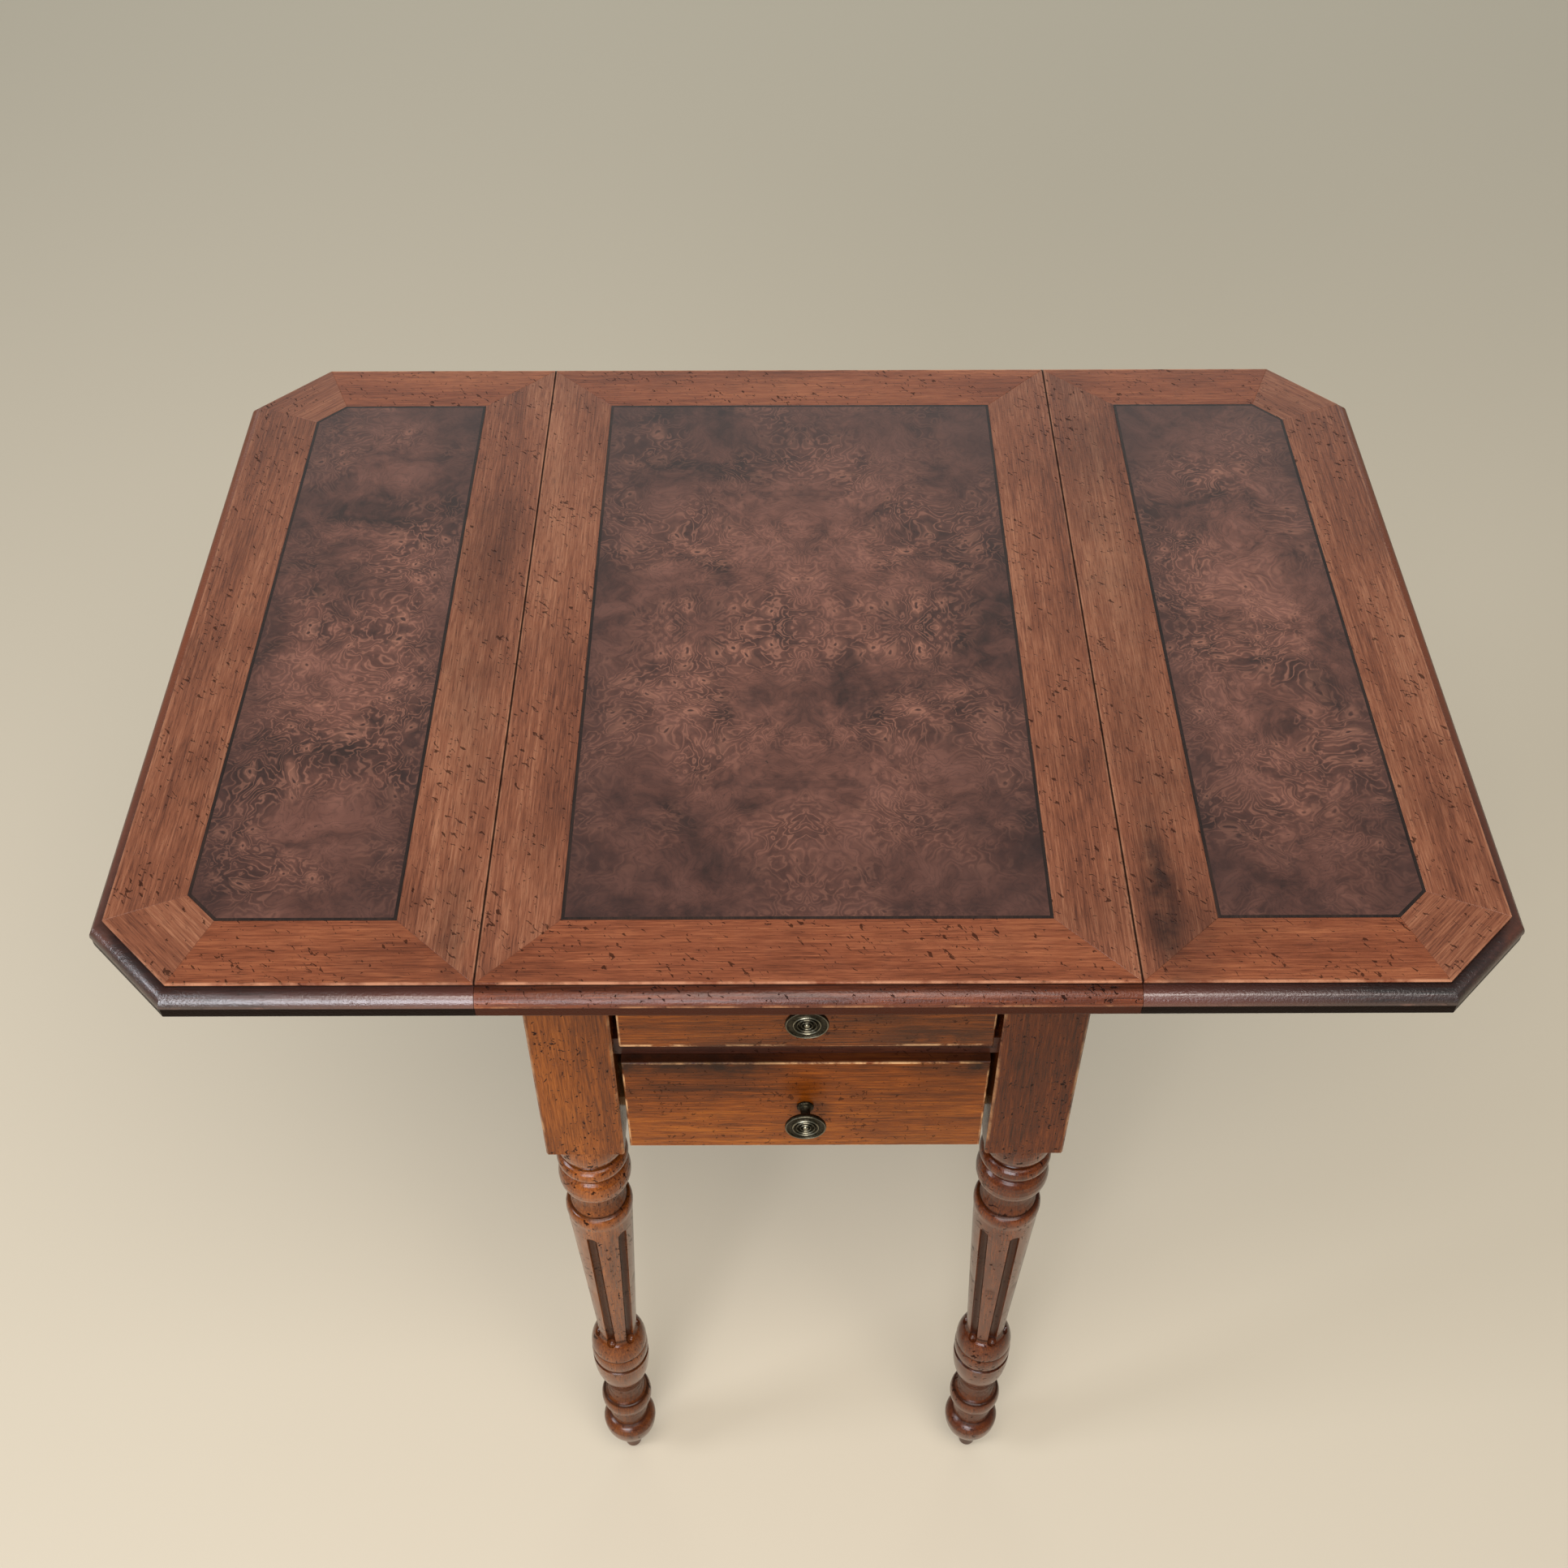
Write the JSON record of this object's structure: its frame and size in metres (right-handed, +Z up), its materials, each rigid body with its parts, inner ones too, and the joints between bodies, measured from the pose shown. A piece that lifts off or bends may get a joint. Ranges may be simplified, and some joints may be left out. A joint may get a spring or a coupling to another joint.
{
  "type": "drop-leaf work table",
  "caption": "Drop-leaf work table with drawers, turned fluted legs, a burl-veneered top with cut corners, and brackets that swing out under the leaves.",
  "frame": {"origin": "on the floor, under the middle of the table with its leaves up", "axes": "+X right along the open top, -Y towards the user and the way the drawers pull out, +Z up"},
  "size_m": [0.816, 0.592, 0.735],
  "materials": {
    "leg_wood": "stained beech, lacquered, worn arrises",
    "rail_wood": "stained beech, lacquered",
    "inner_wood": "plain unfinished softwood and plywood",
    "centre_edge": "stained hardwood moulding, lacquered",
    "leaf_edge": "dark stained hardwood moulding, lacquered",
    "burl_veneer": "burl veneer, satin lacquer",
    "stringing": "dyed black veneer line",
    "border_veneer": "cherry veneer with long grain, satin lacquer",
    "drawer_front_wood": "stained cherry, satin lacquer",
    "steel_hardware": "plain steel, dulled",
    "antique_brass": "turned brass, antiqued dark"
  },
  "bodies": {
    "frame": {"leg_front_left": "leg_wood", "leg_front_right": "leg_wood", "leg_back_left": "leg_wood", "leg_back_right": "leg_wood", "apron_left": "leg_wood", "apron_right": "leg_wood", "apron_back": "leg_wood", "side_rail_left": "rail_wood", "side_rail_right": "rail_wood", "drawer_divider": "rail_wood", "upper_runners": "inner_wood", "lower_runners": "inner_wood", "drawer_stops": "inner_wood", "top_blocks": "inner_wood", "top_screws": "steel_hardware", "centre_board": "centre_edge", "centre_burl": "burl_veneer", "centre_stringing": "stringing", "centre_border_front": "border_veneer", "centre_border_back": "border_veneer", "centre_border_left": "border_veneer", "centre_border_right": "border_veneer", "hinge_plates": "steel_hardware", "hinge_pins": "steel_hardware", "hinge_screws_centre": "steel_hardware", "bracket_pins": "steel_hardware"},
    "leaf_left": {"leaf_left_board": "leaf_edge", "leaf_left_burl": "burl_veneer", "leaf_left_stringing": "stringing", "leaf_left_border_front": "border_veneer", "leaf_left_border_front_corner": "border_veneer", "leaf_left_border_outer": "border_veneer", "leaf_left_border_back_corner": "border_veneer", "leaf_left_border_back": "border_veneer", "leaf_left_border_inner": "border_veneer", "hinge_flaps_left": "steel_hardware", "hinge_screws_left": "steel_hardware"},
    "leaf_right": {"leaf_right_board": "leaf_edge", "leaf_right_burl": "burl_veneer", "leaf_right_stringing": "stringing", "leaf_right_border_front": "border_veneer", "leaf_right_border_front_corner": "border_veneer", "leaf_right_border_outer": "border_veneer", "leaf_right_border_back_corner": "border_veneer", "leaf_right_border_back": "border_veneer", "leaf_right_border_inner": "border_veneer", "hinge_flaps_right": "steel_hardware", "hinge_screws_right": "steel_hardware"},
    "drawer_upper": {"drawer_upper_front": "drawer_front_wood", "drawer_upper_sides": "inner_wood", "drawer_upper_back": "inner_wood", "drawer_upper_bottom": "inner_wood", "drawer_upper_knob": "antique_brass"},
    "drawer_lower": {"drawer_lower_front": "drawer_front_wood", "drawer_lower_sides": "inner_wood", "drawer_lower_back": "inner_wood", "drawer_lower_bottom": "inner_wood", "drawer_lower_knob": "antique_brass"},
    "bracket_left": {"bracket_left": "rail_wood"},
    "bracket_right": {"bracket_right": "rail_wood"}
  },
  "joints": [
    {"name": "leaf_left_drop", "type": "hinge", "parent": "frame", "child": "leaf_left", "pos_m": [-0.184, 0, 0.7121], "axis": [0, -1, 0], "range_deg": [0, 90]},
    {"name": "leaf_right_drop", "type": "hinge", "parent": "frame", "child": "leaf_right", "pos_m": [0.184, 0, 0.7121], "axis": [0, 1, 0], "range_deg": [0, 90]},
    {"name": "drawer_upper_slide", "type": "slide", "parent": "frame", "child": "drawer_upper", "axis": [0, -1, 0], "range_m": [0, 0.28]},
    {"name": "drawer_lower_slide", "type": "slide", "parent": "frame", "child": "drawer_lower", "axis": [0, -1, 0], "range_m": [0, 0.28]},
    {"name": "bracket_left_swing", "type": "hinge", "parent": "frame", "child": "bracket_left", "pos_m": [-0.1575, -0.075, 0.6827], "axis": [0, 0, -1], "range_deg": [-90, 0]},
    {"name": "bracket_right_swing", "type": "hinge", "parent": "frame", "child": "bracket_right", "pos_m": [0.1575, -0.075, 0.6827], "axis": [0, 0, 1], "range_deg": [-90, 0]}
  ]
}
